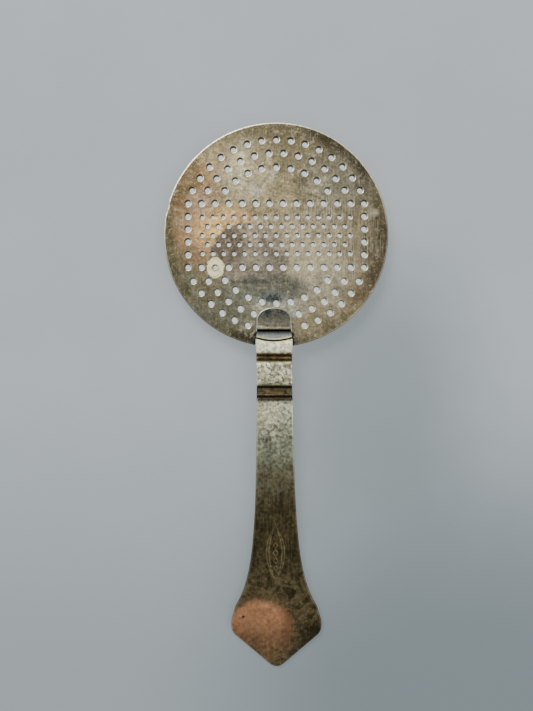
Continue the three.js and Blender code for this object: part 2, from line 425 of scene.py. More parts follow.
def plate():
    loops = [(plate_outline(), False, RIM_BEVEL, 0, 1)]
    loops.append((slot_outline(), True, SLOT_BEVEL, 0, 0))
    for centre in large_hole_centres():
        clogged = (centre - Vector(CLEANED_SPOT)).length < 1
        radius = CLOGGED_HOLE if clogged else LARGE_HOLE
        loops.append((circle(centre, radius, LARGE_SIDES), True, LARGE_BEVEL, HOLE_LIP, 1))
    for centre in small_hole_centres():
        loops.append((circle(centre, SMALL_HOLE, SMALL_SIDES), True, SMALL_BEVEL, HOLE_LIP, 1))
    row_pitch = PLATE_PITCH * 0.866
    rows = int(RIM / row_pitch) + 1
    filling = [
        (PLATE_PITCH * (i + 0.5 * (j % 2)), row_pitch * j)
        for j in range(-rows, rows + 1)
        for i in range(-rows, rows + 1)
    ]
    piece = sheet_piece("perforated_plate", loops, filling, 0.55, on_dome, PLATE_THICKNESS)
    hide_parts("plate")
    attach(piece, "strainer")
    return piece


# ---- handle


def dome_top(distance):
    return RIM_UNDER_Z + DOME_RISE * (1 - (distance / RIM) ** 2) + PLATE_THICKNESS


def strip_stations():
    """The strip's middle line from the side: length along it, point and direction at each step."""
    over = SEATED + STRIP_THICKNESS / 2
    under, crest, groove = 3.6, 8.3, 5.3
    corners = [
        (TONGUE_TIP, dome_top(TONGUE_TIP) + over),
        (34.6, dome_top(34.6) + over),
        (35.4, under), (40.3, under),
        (40.8, crest), (43.5, crest),
        (45.1, groove), (46.7, groove),
        (48.3, crest), (55.3, crest),
        (57.0, groove), (60.3, groove),
        (FLAT_START, 6.95),
        (REACH, STRIP_THICKNESS / 2),
    ]
    corners = [Vector(c) for c in corners]
    line = [(corners[0], (corners[1] - corners[0]).normalized())]
    for before, corner, after in zip(corners, corners[1:], corners[2:]):
        radius = BEND_RADIUS if corner.x < 42 else STEP_RADIUS
        line += rounded_corner(before, corner, after, radius, 8)
    line.append((corners[-1], (corners[-1] - corners[-2]).normalized()))
    lengths = [0.0]
    for (a, _), (b, _) in zip(line, line[1:]):
        lengths.append(lengths[-1] + (b - a).length)
    return lengths, [p for p, _ in line], [d for _, d in line]


LENGTHS, LINE, AHEAD = strip_stations()
DISTANCES = [p.x for p in LINE]
HEIGHTS = [p.y for p in LINE]
SLOPES = [math.atan2(d.y, d.x) for d in AHEAD]


def length_at(distance):
    return float(np.interp(distance, DISTANCES, LENGTHS))


def stamped(x, distance):
    """How far a generic ornament is pressed in, 0 to 1: a double pointed oval round lozenges."""
    along = (distance - STAMP_MIDDLE) / STAMP_HALF_LENGTH
    if abs(along) > 1.1:
        return 0.0
    depth = 0.0
    reach = max(0.0, 1 - along * along)
    for share in (1.0, 0.72):
        off = abs(abs(x) - share * STAMP_HALF_WIDTH * reach)
        if abs(along) < 0.45 + share / 2:
            depth = max(depth, math.exp(-((off / 0.22) ** 2)))
    for k in range(-2, 3):
        size = 1.0 - 0.15 * abs(k)
        off = abs(abs(x) / (0.95 * size) + abs(distance - STAMP_MIDDLE - k * 2.9) / (1.3 * size) - 1)
        depth = max(depth, math.exp(-((off / 0.25) ** 2)))
    return depth


def on_strip(length, x, height):
    """The strip's surface: bent along its middle line, bowed where it leaves the bridge, stamped."""
    s = float(np.interp(length, LENGTHS, DISTANCES))
    z = float(np.interp(length, LENGTHS, HEIGHTS))
    slope = float(np.interp(length, LENGTHS, SLOPES))
    lift = height - STRIP_THICKNESS / 2
    lift += 0.03 * noise.noise(Vector((x / 6, length / 6, 21)))
    if height > STRIP_THICKNESS / 2:
        lift -= STAMP_DEPTH * stamped(x, s)
    s -= math.sin(slope) * lift
    z += math.cos(slope) * lift
    near_bridge = max(0.0, 1 - ((s - 40.3) / 3.2) ** 2)
    s -= BOW * (x / NOTCH_HALF_WIDTH) ** 2 * near_bridge**2
    return Vector((x - askew(s), CENTRE_Y - s, z)) * MM


def strip_half_width(distance):
    """Half the strip's width where it is woven through the plate and stepped."""
    widths = [(SLOT[1], TONGUE_HALF_WIDTH), (38, 6.75), (47, 6.68), (54, 6.62), (62, 6.7)]
    return float(np.interp(distance, *zip(*widths)))


def strip_outline():
    """Seen flat: x is the length along the strip, y is across it."""
    side = []
    for angle in spread(-90, 0, 15):
        turn = math.radians(angle)
        along = TONGUE_TIP + TONGUE_CAP * (1 + math.sin(turn))
        side.append(Vector((along, TONGUE_HALF_WIDTH * math.cos(turn) ** 0.9)))
    side += [Vector((s, strip_half_width(s))) for s in DISTANCES if 34 < s < FLAT_START + 0.6]
    blade = [
        (62, 6.7), (98, 7.35), (101, 7.5),
        (112, 8.4), (134.6, 10.1), (139.2, 15.3),
        (141, 15.7), (144, 16.4), (145.2, 17.2),
        (147.2, 17.2), (149.4, 17.2), (150.7, 16.7),
        (151.8, 15.4), (155.5, 11.2), (159.2, 6.9),
        (162.9, 2.7), (163.6, 1.9), (REACH, 1), (REACH, 0),
    ]
    blade = [Vector(p) for p in blade]
    for i in range(0, len(blade) - 1, 3):
        side += bezier(*blade[i : i + 4], 12)[1:]
    side = [Vector((length_at(p.x), p.y)) for p in side]
    other = [Vector((p.x, -p.y)) for p in reversed(side[1:-1])]
    return [*other, *side][::-1]


def near_stamp(length):
    distance = float(np.interp(length, LENGTHS, DISTANCES))
    return abs(distance - STAMP_MIDDLE) < STAMP_HALF_LENGTH + 1


def handle():
    outline = strip_outline()
    filling = []
    bends = [u for u, s in zip(LENGTHS, DISTANCES) if 33 < s < FLAT_START + 0.6]
    rows = [*spread(0.8, bends[0] - 0.8, 6), *bends]
    flat = bends[-1] + 1
    while flat < LENGTHS[-1]:
        rows.append(flat)
        flat += STAMP_PITCH if near_stamp(flat) else 1.2
    for u in rows:
        columns = [i * STRIP_PITCH for i in range(-15, 16)]
        if near_stamp(u):
            columns = [x for x in columns if abs(x) > 3.8] + spread(-3.7, 3.7, 47)
        filling += [(u, x) for x in columns]
    loops = [(outline, False, STRIP_BEVEL, 0, 1)]
    piece = sheet_piece("strip_handle", loops, filling, 0.12, on_strip, STRIP_THICKNESS)
    marks = piece.data.attributes.new("pressed", "FLOAT", "POINT")
    for vert, mark in zip(piece.data.vertices, marks.data):
        distance = CENTRE_Y - vert.co.y / MM
        x = vert.co.x / MM + askew(distance)
        mark.value = stamped(x, distance) if vert.normal.z > 0.3 else 0
    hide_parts("handle")
    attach(piece, "strainer")
    return piece


# ---- coil


def coil_point(angle, phase, size):
    """A point on the wire: round a ring under the rim, and round that ring's own middle line."""
    out = size * math.cos(phase)
    up = size * math.sin(phase)
    place = polar(COIL_RING + out, angle)
    return Vector((place.x, place.y, COIL_WIDTH / 2 + up))


def coil_path():
    """The wire from tail to tail; the tails run in under the strip."""
    full = (COIL_WIDTH - WIRE) / 2
    steps = COIL_TURNS * STEPS_PER_TURN
    path = []
    for i in range(steps + 1):
        share = i / steps
        angle = -COIL_END_ANGLE + 2 * COIL_END_ANGLE * share
        turns_from_end = min(share, 1 - share) * COIL_TURNS
        ease = min(1.0, turns_from_end / 0.9)
        size = full * ease * ease * (3 - 2 * ease)
        path.append(coil_point(angle, 2 * math.pi * COIL_TURNS * share - math.pi / 2, size))
    end = path[-1]
    tail = [Vector((end.x - i * 1.1, end.y, end.z + 0.02 * i)) for i in range(1, 9)]
    mirrored = [Vector((-p.x, p.y, p.z)) for p in reversed(tail)]
    return mirrored + path + tail


def tube(name, path, radius, sides):
    """A closed round wire along a path."""
    bm = bmesh.new()
    rings = []
    normal = Vector((0, 0, 1))
    for i, point in enumerate(path):
        ahead = (path[min(i + 1, len(path) - 1)] - path[max(i - 1, 0)]).normalized()
        normal = (normal - ahead * normal.dot(ahead)).normalized()
        across = ahead.cross(normal)
        ring = []
        for k in range(sides):
            turn = 2 * math.pi * k / sides
            offset = normal * math.cos(turn) * radius + across * math.sin(turn) * radius
            place = point + offset
            ring.append(bm.verts.new(Vector((place.x, place.y + CENTRE_Y, place.z)) * MM))
        rings.append(ring)
    for a, b in zip(rings, rings[1:]):
        join_rings(bm, a, b)
    bm.faces.new(rings[0])
    bm.faces.new(reversed(rings[-1]))
    return finished_piece(name, bm)


def coil():
    piece = tube("coil_spring", coil_path(), WIRE / 2, 8)
    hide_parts("coil_front", "coil_left", "coil_right")
    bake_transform(piece)
    return piece


# ---- materials


def srgb(red, green, blue):
    """A colour from 0 to 255 values, as linear values with full opacity."""
    def linear(value):
        value /= 255
        return value / 12.92 if value <= 0.04045 else ((value + 0.055) / 1.055) ** 2.4

    return (linear(red), linear(green), linear(blue), 1.0)


class Paint:
    """One metal, built node by node. Positions are in mm from the plate's centre."""

    def __init__(self, name):
        self.material = bpy.data.materials.new(name)
        self.material.use_nodes = True
        self.nodes = self.material.node_tree.nodes
        self.links = self.material.node_tree.links
        self.nodes.clear()
        self.shader = self.nodes.new("ShaderNodeBsdfPrincipled")
        output = self.nodes.new("ShaderNodeOutputMaterial")
        self.links.new(self.shader.outputs["BSDF"], output.inputs["Surface"])
        coordinates = self.nodes.new("ShaderNodeTexCoord").outputs["Object"]
        moved = self.vector("SUBTRACT", coordinates, (0, CENTRE_Y * MM, 0))
        self.position = self.vector("MULTIPLY", moved, (1000, 1000, 1000))
        parts = self.nodes.new("ShaderNodeSeparateXYZ")
        self.links.new(self.position, parts.inputs[0])
        self.x, self.y, self.z = parts.outputs

    def put(self, socket, value):
        if hasattr(value, "is_output"):
            self.links.new(value, socket)
        else:
            socket.default_value = value

    def surface(self, name, value):
        self.links.new(value, self.shader.inputs[name])

    def vector(self, operation, a, b=(0, 0, 0)):
        node = self.nodes.new("ShaderNodeVectorMath")
        node.operation = operation
        self.put(node.inputs[0], a)
        self.put(node.inputs[1], b)
        return node.outputs["Value" if operation == "LENGTH" else "Vector"]

    def math(self, operation, a, b=0.0):
        node = self.nodes.new("ShaderNodeMath")
        node.operation = operation
        self.put(node.inputs[0], a)
        self.put(node.inputs[1], b)
        return node.outputs[0]

    def noise(self, size, detail=4.0, stretch=(1, 1, 1), seed=0.0, roughness=0.55, bend=0.0):
        node = self.nodes.new("ShaderNodeTexNoise")
        scale = tuple(1 / (size * s) for s in stretch)
        scaled = self.vector("MULTIPLY", self.position, scale)
        moved = self.vector("ADD", scaled, (seed, seed * 1.7, 0))
        self.put(node.inputs["Vector"], moved)
        node.inputs["Scale"].default_value = 1
        node.inputs["Detail"].default_value = detail
        node.inputs["Roughness"].default_value = roughness
        node.inputs["Distortion"].default_value = bend
        return node.outputs[0]

    def levels(self, value, low, high, start=0.0, end=1.0):
        node = self.nodes.new("ShaderNodeMapRange")
        node.interpolation_type = "SMOOTHSTEP"
        self.put(node.inputs["Value"], value)
        for name, number in zip(("From Min", "From Max", "To Min", "To Max"), (low, high, start, end)):
            node.inputs[name].default_value = number
        return node.outputs[0]

    def spot(self, x, y, wide, tall, soft=0.3, wobble=0.0, grain=None):
        """1 inside an oval round a point, 0 outside, with an uneven edge."""
        away = self.vector("SUBTRACT", self.position, (x, y, 0))
        away = self.vector("MULTIPLY", away, (1 / wide, 1 / tall, 0))
        distance = self.vector("LENGTH", away)
        if wobble:
            shake = self.times(self.math("SUBTRACT", grain, 0.5), wobble)
            distance = self.math("ADD", distance, shake)
        return self.levels(distance, 1 - soft, 1 + soft, 1.0, 0.0)

    def times(self, a, b):
        return self.math("MULTIPLY", a, b)

    def mix(self, share, a, b, mode="MIX"):
        node = self.nodes.new("ShaderNodeMix")
        node.data_type = "RGBA"
        node.blend_type = mode
        self.put(node.inputs[0], share)
        self.put(node.inputs[6], a)
        self.put(node.inputs[7], b)
        return node.outputs[2]

    def stain(self, colour, where, strength, other):
        """The colour with another laid over it where the mask says so."""
        return self.mix(self.times(where, strength), colour, other)

    def shade(self, colour, value, low, high):
        """The colour made darker where the value is low and lighter where it is high."""
        return self.mix(1.0, colour, self.levels(value, 0.3, 0.7, low, high), "MULTIPLY")

    def attribute(self, name):
        node = self.nodes.new("ShaderNodeAttribute")
        node.attribute_name = name
        return node.outputs["Fac"]

    def bump(self, height, distance, strength, before=None):
        node = self.nodes.new("ShaderNodeBump")
        node.inputs["Strength"].default_value = strength
        node.inputs["Distance"].default_value = distance
        self.put(node.inputs["Height"], height)
        if before is not None:
            self.put(node.inputs["Normal"], before)
        return node.outputs[0]


class WornMetal(Paint):
    """A tarnished metal whose colour is laid in layers, from the broad casts to the fine grain."""

    def lay(self, where, strength, tint):
        """Lay a tint, as 0 to 255 values or a socket, over the colour where the mask says so."""
        tint = srgb(*tint) if isinstance(tint, tuple) else tint
        self.colour = self.stain(self.colour, where, strength, tint)

    def mottled(self, colour, rows):
        """The colour under tints; a row is a value, its low and high level, strength and tint."""
        for value, low, high, strength, tint in rows:
            colour = self.stain(colour, self.levels(value, low, high), strength, srgb(*tint))
        return colour

    def patch(self, x, y, wide, tall, soft, wobble, grain, strength, tint, *fade):
        """Lay a tint over a spot, which fades or breaks up between two levels of a value."""
        where = self.spot(x, y, wide, tall, soft, wobble, grain)
        if fade:
            where = self.times(where, self.levels(*fade))
        self.lay(where, strength, tint)

    def vary(self, value, low, high):
        """Make the colour darker where the value is low and lighter where it is high."""
        self.colour = self.shade(self.colour, value, low, high)

    def finish(self, smoothest, roughest, metallic, dents, depth, strength):
        """Connect the shader; worn edges are smoother, under grain, scratches and dents."""
        rough = self.levels(self.middle, 0.2, 0.8, smoothest, roughest)
        rough = self.math("SUBTRACT", rough, self.times(self.edge, 0.12))
        self.surface("Base Color", self.colour)
        self.surface("Roughness", rough)
        self.surface("Metallic", metallic)
        grain = self.bump(self.fine, 0.0001, 0.35)
        lines = self.bump(self.hair_lines, 0.00004, 0.5, grain)
        self.surface("Normal", self.bump(dents, depth, strength, lines))


# Small marks on the plate, in mm: x, y, half width, half height, strength and tint.
PLATE_MARKS = [
    (-4.5, 29, 4, 3.5, 0.45, (120, 108, 82)),
    (-14, 27.7, 2.8, 2.6, 0.5, (206, 196, 150)),
    (-2.6, 28.4, 0.9, 2.2, 0.45, (206, 190, 156)),
    (-1.1, 22.7, 2, 1.8, 0.45, (184, 184, 160)),
    (-7.6, 15.9, 2.2, 1.8, 0.7, (202, 198, 174)),
    (-28, 12, 4.5, 4.5, 0.4, (190, 168, 142)),
    (9.5, 20.6, 2.6, 2.4, 0.6, (104, 98, 84)),
    (36.6, 8, 1.7, 1.5, 0.7, (180, 176, 152)),
    (36.5, -19, 3.5, 4.5, 0.6, (84, 76, 58)),
    # A painted glint: a tiny yellow highlight.
    (4.5, -21.5, 0.55, 0.45, 0.6, (226, 206, 150)),
    (-5.2, -20, 2, 0.5, 0.7, (184, 172, 144)),
    (2, -28.5, 9, 3, 0.5, (210, 206, 186)),
]


class PlateMetal(WornMetal):
    """Silver plate worn thin: khaki tarnish, a copper cast at the left, stains and a cleaned spot."""

    def __init__(self):
        super().__init__("tarnished_plate")
        self.broad = self.noise(16, 3, seed=1)
        self.middle = self.noise(4.5, 5, seed=2, bend=0.6)
        self.small = self.noise(1.7, 4, seed=6, bend=0.4)
        self.fine = self.noise(0.8, 3, seed=3)
        self.grit = self.noise(1.15, 1, seed=10)
        self.cloudy = self.noise(9, 5, seed=4, bend=1.2)
        self.streaks = self.noise(2.2, 4, (0.3, 5, 1), seed=5)
        self.hairs = self.noise(1.2, 3, (0.14, 9, 1), seed=7)
        flat = self.vector("MULTIPLY", self.position, (1, 1, 0))
        self.radius = self.vector("LENGTH", flat)
        self.off_strip = self.math("ABSOLUTE", self.math("ADD", self.x, askew(BRIDGE_SIDE)))
        self.hair_lines = self.levels(self.hairs, 0.56, 0.68)
        self.cleaned = self.spot(*CLEANED_SPOT, 3.25, 3.9, 0.07, 0.5, self.grit)
        # Painted shade on the hole walls, weaker in the lower rows.
        self.wall = self.times(self.attribute("wall"), self.levels(self.y, -30, 0, 0.6, 1.0))
        self.edge = self.attribute("edge")

    def tarnish(self):
        """Khaki, with paler streaks, and darker towards the nose."""
        khaki, straw = srgb(134, 121, 90), srgb(168, 152, 115)
        self.colour = self.mix(self.levels(self.broad, 0.3, 0.7), khaki, straw)
        self.lay(self.levels(self.middle, 0.4, 0.75), 0.5, (126, 118, 94))
        self.lay(self.levels(self.streaks, 0.5, 0.72), 0.45, (186, 176, 144))
        self.patch(6, 38, 26, 17, 0.35, 0.4, self.cloudy, 0.7, (104, 96, 72), self.middle, 0.2, 0.5)
        self.patch(3, 43, 24, 9, 0.5, 0.5, self.cloudy, 0.7, (90, 84, 62), self.small, 0.25, 0.5)

    def copper_cast(self):
        """The copper that shows through at the left, with rust, and the dark left edge."""
        reach = self.math("ABSOLUTE", self.math("SUBTRACT", self.y, 8))
        left = self.times(self.levels(self.x, -18, -29), self.levels(reach, 26, 12))
        left = self.times(left, self.levels(self.cloudy, 0.25, 0.55))
        self.lay(left, 0.85, (166, 130, 94))
        rust = self.times(left, self.levels(self.small, 0.5, 0.66))
        self.lay(rust, 0.5, (128, 88, 56))
        edge_left = self.times(self.levels(self.x, -35.5, -40), self.levels(self.middle, 0.25, 0.55))
        self.lay(edge_left, 0.9, (84, 76, 54))

    def large_stains(self):
        """Broad stains all round, each with its own cast."""
        olive = self.spot(-27, -26, 19, 13, 0.45, 0.9, self.cloudy)
        self.lay(olive, 0.55, (110, 110, 88))
        blue = self.times(olive, self.levels(self.middle, 0.5, 0.64))
        self.lay(blue, 0.5, (104, 112, 104))
        self.patch(15, -4, 15, 14, 0.5, 0.5, self.cloudy, 0.45, (184, 172, 142))
        self.patch(-34, 19, 8, 11, 0.5, 0.5, self.middle, 0.75, (98, 80, 50))
        self.patch(-38, -14, 6, 11, 0.5, 0.5, self.middle, 0.6, (92, 92, 66))
        self.patch(36, 22, 9, 12, 0.5, 0.6, self.middle, 0.5, (106, 98, 76))
        self.patch(13, -15, 11, 12, 0.6, 0.9, self.streaks, 0.7, (206, 194, 154))
        self.patch(22, -27, 17, 9, 0.5, 0.8, self.middle, 0.35, (140, 128, 98))

    def peach_and_arch(self):
        """A bright peach patch, and the grey-brown arch that cuts into it."""
        self.patch(-19, 1, 12.5, 9.5, 0.22, 0.5, self.middle, 0.8, (212, 173, 119), self.y, -9, -2)
        self.patch(-20.5, 2.8, 6.5, 3.8, 0.6, 0.9, self.small, 0.8, (248, 206, 130), self.fine, 0.3, 0.6)
        self.patch(-3, 3.8, 10, 3, 0.5, 0.6, self.middle, 0.45, (190, 172, 138))
        arch = self.spot(-10.3, -10.2, 14.6, 14.6, 0.045, 0.16, self.small)
        arch = self.times(arch, self.levels(self.y, -17.6, -16.6))
        inside = self.mix(self.levels(self.middle, 0.35, 0.65), srgb(142, 131, 112), srgb(158, 146, 125))
        inside = self.mottled(inside, [(self.small, 0.5, 0.68, 0.6, (104, 100, 88))])
        self.lay(arch, 0.92, inside)
        rim_of_arch = self.times(arch, self.spot(-19, -3.5, 7.5, 7.5, 0.4, 0.5, self.small))
        self.lay(rim_of_arch, 0.65, (96, 86, 72))

    def smoky_band(self):
        """The smoky band under the arch with its dark line, and three faint broad casts."""
        self.patch(-4, -20.3, 16, 5.2, 0.35, 0.7, self.cloudy, 0.75, (118, 120, 106))
        self.patch(-7, -17.6, 11, 0.8, 0.6, 0.9, self.small, 0.7, (74, 78, 74))
        self.patch(7, -20.5, 4.5, 4.5, 0.6, 0.8, self.small, 0.5, (96, 98, 92))
        self.patch(-6, -30, 14, 8, 0.5, 0.8, self.middle, 0.35, (122, 134, 124))
        self.patch(20, -20, 9, 7, 0.6, 0.8, self.middle, 0.4, (200, 192, 166))
        self.patch(22, 20, 13, 10, 0.7, 1.0, self.cloudy, 0.5, (124, 125, 111))

    def round_the_tongue(self):
        """A pale collar round the strip's tongue, and the blue-black smudge above it."""
        self.patch(1, -26.6, 10, 3.4, 0.4, 0.9, self.small, 0.75, (218, 212, 182), self.grit, 0.35, 0.55)
        self.patch(-1, -23.6, 6.5, 2.8, 0.6, 0.7, self.middle, 0.55, (88, 100, 98))
        self.patch(-1, -24, 3.1, 1.7, 0.4, 0.5, self.small, 0.92, (42, 60, 66))

    def rim_dirt(self):
        """Dirt gathered round the rim, nearly black in three places."""
        around = self.times(self.levels(self.radius, 35, 41), self.levels(self.cloudy, 0.36, 0.6))
        self.lay(around, 0.6, (86, 80, 60))
        black = (52, 46, 34)
        corner = self.spot(24, 31, 17, 14, 0.4, 0.5, self.middle)
        corner = self.times(corner, self.levels(self.radius, 35.5, 40.5))
        self.lay(self.times(corner, self.levels(self.small, 0.25, 0.5)), 0.8, black)
        self.patch(31, -22, 6, 4.5, 0.6, 0.9, self.middle, 0.7, (112, 82, 50), self.small, 0.35, 0.6)
        self.patch(-7, -38, 17, 8, 0.5, 0.8, self.middle, 0.85, black, self.y, -33.5, -38.5)
        self.patch(40, -10, 7, 20, 0.4, 1.0, self.middle, 0.75, black, self.small, 0.3, 0.54)

    def small_marks(self):
        """A pale cast at the upper left and the small marks on it and elsewhere."""
        self.patch(-11, 23, 9, 11, 0.5, 0.7, self.cloudy, 0.5, (192, 180, 148))
        for x, y, wide, tall, strength, tint in PLATE_MARKS:
            self.lay(self.spot(x, y, wide, tall, 0.5, 0.9, self.small), strength, tint)
        bar = (190, 184, 152)
        self.patch(-12.8, 23, 1.1, 11, 0.6, 0.9, self.small, 0.6, bar, self.fine, 0.3, 0.6)
        haze = self.times(self.levels(self.small, 0.56, 0.7), self.levels(self.broad, 0.42, 0.6))
        self.lay(haze, 0.4, (202, 194, 164))

    def texture(self):
        """The fine grain: mottling, grime and flecks, brushed lines and pits."""
        self.lay(self.hair_lines, 0.28, (206, 196, 166))
        self.vary(self.middle, 0.82, 1.16)
        self.vary(self.grit, 0.78, 1.2)
        self.vary(self.small, 0.8, 1.18)
        self.vary(self.fine, 0.78, 1.22)
        dirtier = self.math("MAXIMUM", self.levels(self.radius, 25, 38), self.levels(self.y, -6, -16))
        grime = self.times(self.levels(self.grit, 0.54, 0.62), dirtier)
        self.lay(grime, 0.4, (70, 62, 44))
        flecks = self.times(self.levels(self.grit, 0.42, 0.34), dirtier)
        self.lay(flecks, 0.2, (206, 196, 164))
        brushed = self.times(self.levels(self.hairs, 0.52, 0.62), self.spot(20, -2, 18, 15, 0.3))
        self.lay(brushed, 0.5, (214, 204, 176))
        pits = self.levels(self.noise(0.6, 2, seed=9), 0.66, 0.74)
        self.lay(pits, 0.5, (62, 56, 42))

    def bridge(self):
        """The plate's bluish band over the strip: a painted shadow under the tongue's end darkens
        its top, and a painted highlight lies along its lower edge.
        """
        bridge = self.times(self.levels(self.y, -36.0, -36.4), self.levels(self.off_strip, 7.0, 6.6))
        # Painted shadow fading downwards from the tongue's end, then a painted highlight at the lower
        # edge.
        shaded_band = self.mix(self.levels(self.y, -36.2, -38.2), srgb(34, 46, 41), srgb(172, 178, 172))
        shaded_band = self.mix(self.levels(self.y, -39, -39.5), shaded_band, srgb(216, 216, 202))
        shaded_band = self.shade(shaded_band, self.fine, 0.75, 1.15)
        self.lay(bridge, 0.95, shaded_band)

    def cleaned_spot(self):
        """A small bright spot round one of the large holes."""
        fresh = self.mix(self.levels(self.grit, 0.3, 0.52), srgb(236, 212, 138), srgb(255, 252, 204))
        ring = self.spot(*CLEANED_SPOT, 1.4, 1.4, 0.2, 0.6, self.grit)
        fresh = self.stain(fresh, ring, 0.7, srgb(130, 114, 72))
        self.lay(self.cleaned, 0.97, fresh)
        dark = (90, 84, 66)
        self.patch(*CLEANED_SPOT, 4, 4.7, 0.1, 0.3, self.small, 0.35, dark, self.cleaned, 1, 0)

    def holes_and_edges(self):
        """Painted shade on the hole walls and in the crease beside the strip, and painted
        highlights on the edges that face the light and at the dent.
        """
        # Painted shade on the hole walls.
        self.lay(self.wall, 0.95, (50, 36, 24))
        # Painted highlight on the edges, strongest at the upper left and on the holes' lips.
        lit = self.levels(self.math("SUBTRACT", self.y, self.times(self.x, 0.25)), -15, 20, 0.12, 1.0)
        lit = self.math("MAXIMUM", lit, self.levels(self.radius, 39.6, 39))
        # A painted glint at the dent in the rim.
        dent_glint = self.spot(-41.3, 9.2, 0.9, 0.8, 0.4)
        self.lay(dent_glint, 0.9, (255, 252, 240))
        self.lay(self.times(self.edge, lit), 1.0, (255, 250, 216))
        # Painted shade in the crease beside the strip.
        side = self.math("ABSOLUTE", self.math("SUBTRACT", self.off_strip, 7.0))
        crease_shade = self.times(self.levels(side, 0.75, 0.25), self.levels(self.y, -36.0, -37.0))
        self.lay(crease_shade, 0.9, (30, 26, 17))


def plate_metal():
    """All the plate's layers in order, and its finish."""
    paint = PlateMetal()
    paint.tarnish()
    paint.copper_cast()
    paint.large_stains()
    paint.peach_and_arch()
    paint.smoky_band()
    paint.round_the_tongue()
    paint.rim_dirt()
    paint.small_marks()
    paint.texture()
    paint.bridge()
    paint.cleaned_spot()
    paint.holes_and_edges()
    dull = paint.math("MAXIMUM", paint.wall, paint.times(paint.cleaned, 0.7))
    metallic = paint.levels(dull, 0.2, 0.8, 0.88, 0.0)
    dents = paint.math("ADD", paint.cloudy, paint.small)
    paint.finish(0.36, 0.52, metallic, dents, 0.00022, 0.5)
    paint.shader.inputs["Specular IOR Level"].default_value = 0.2
    return paint.material


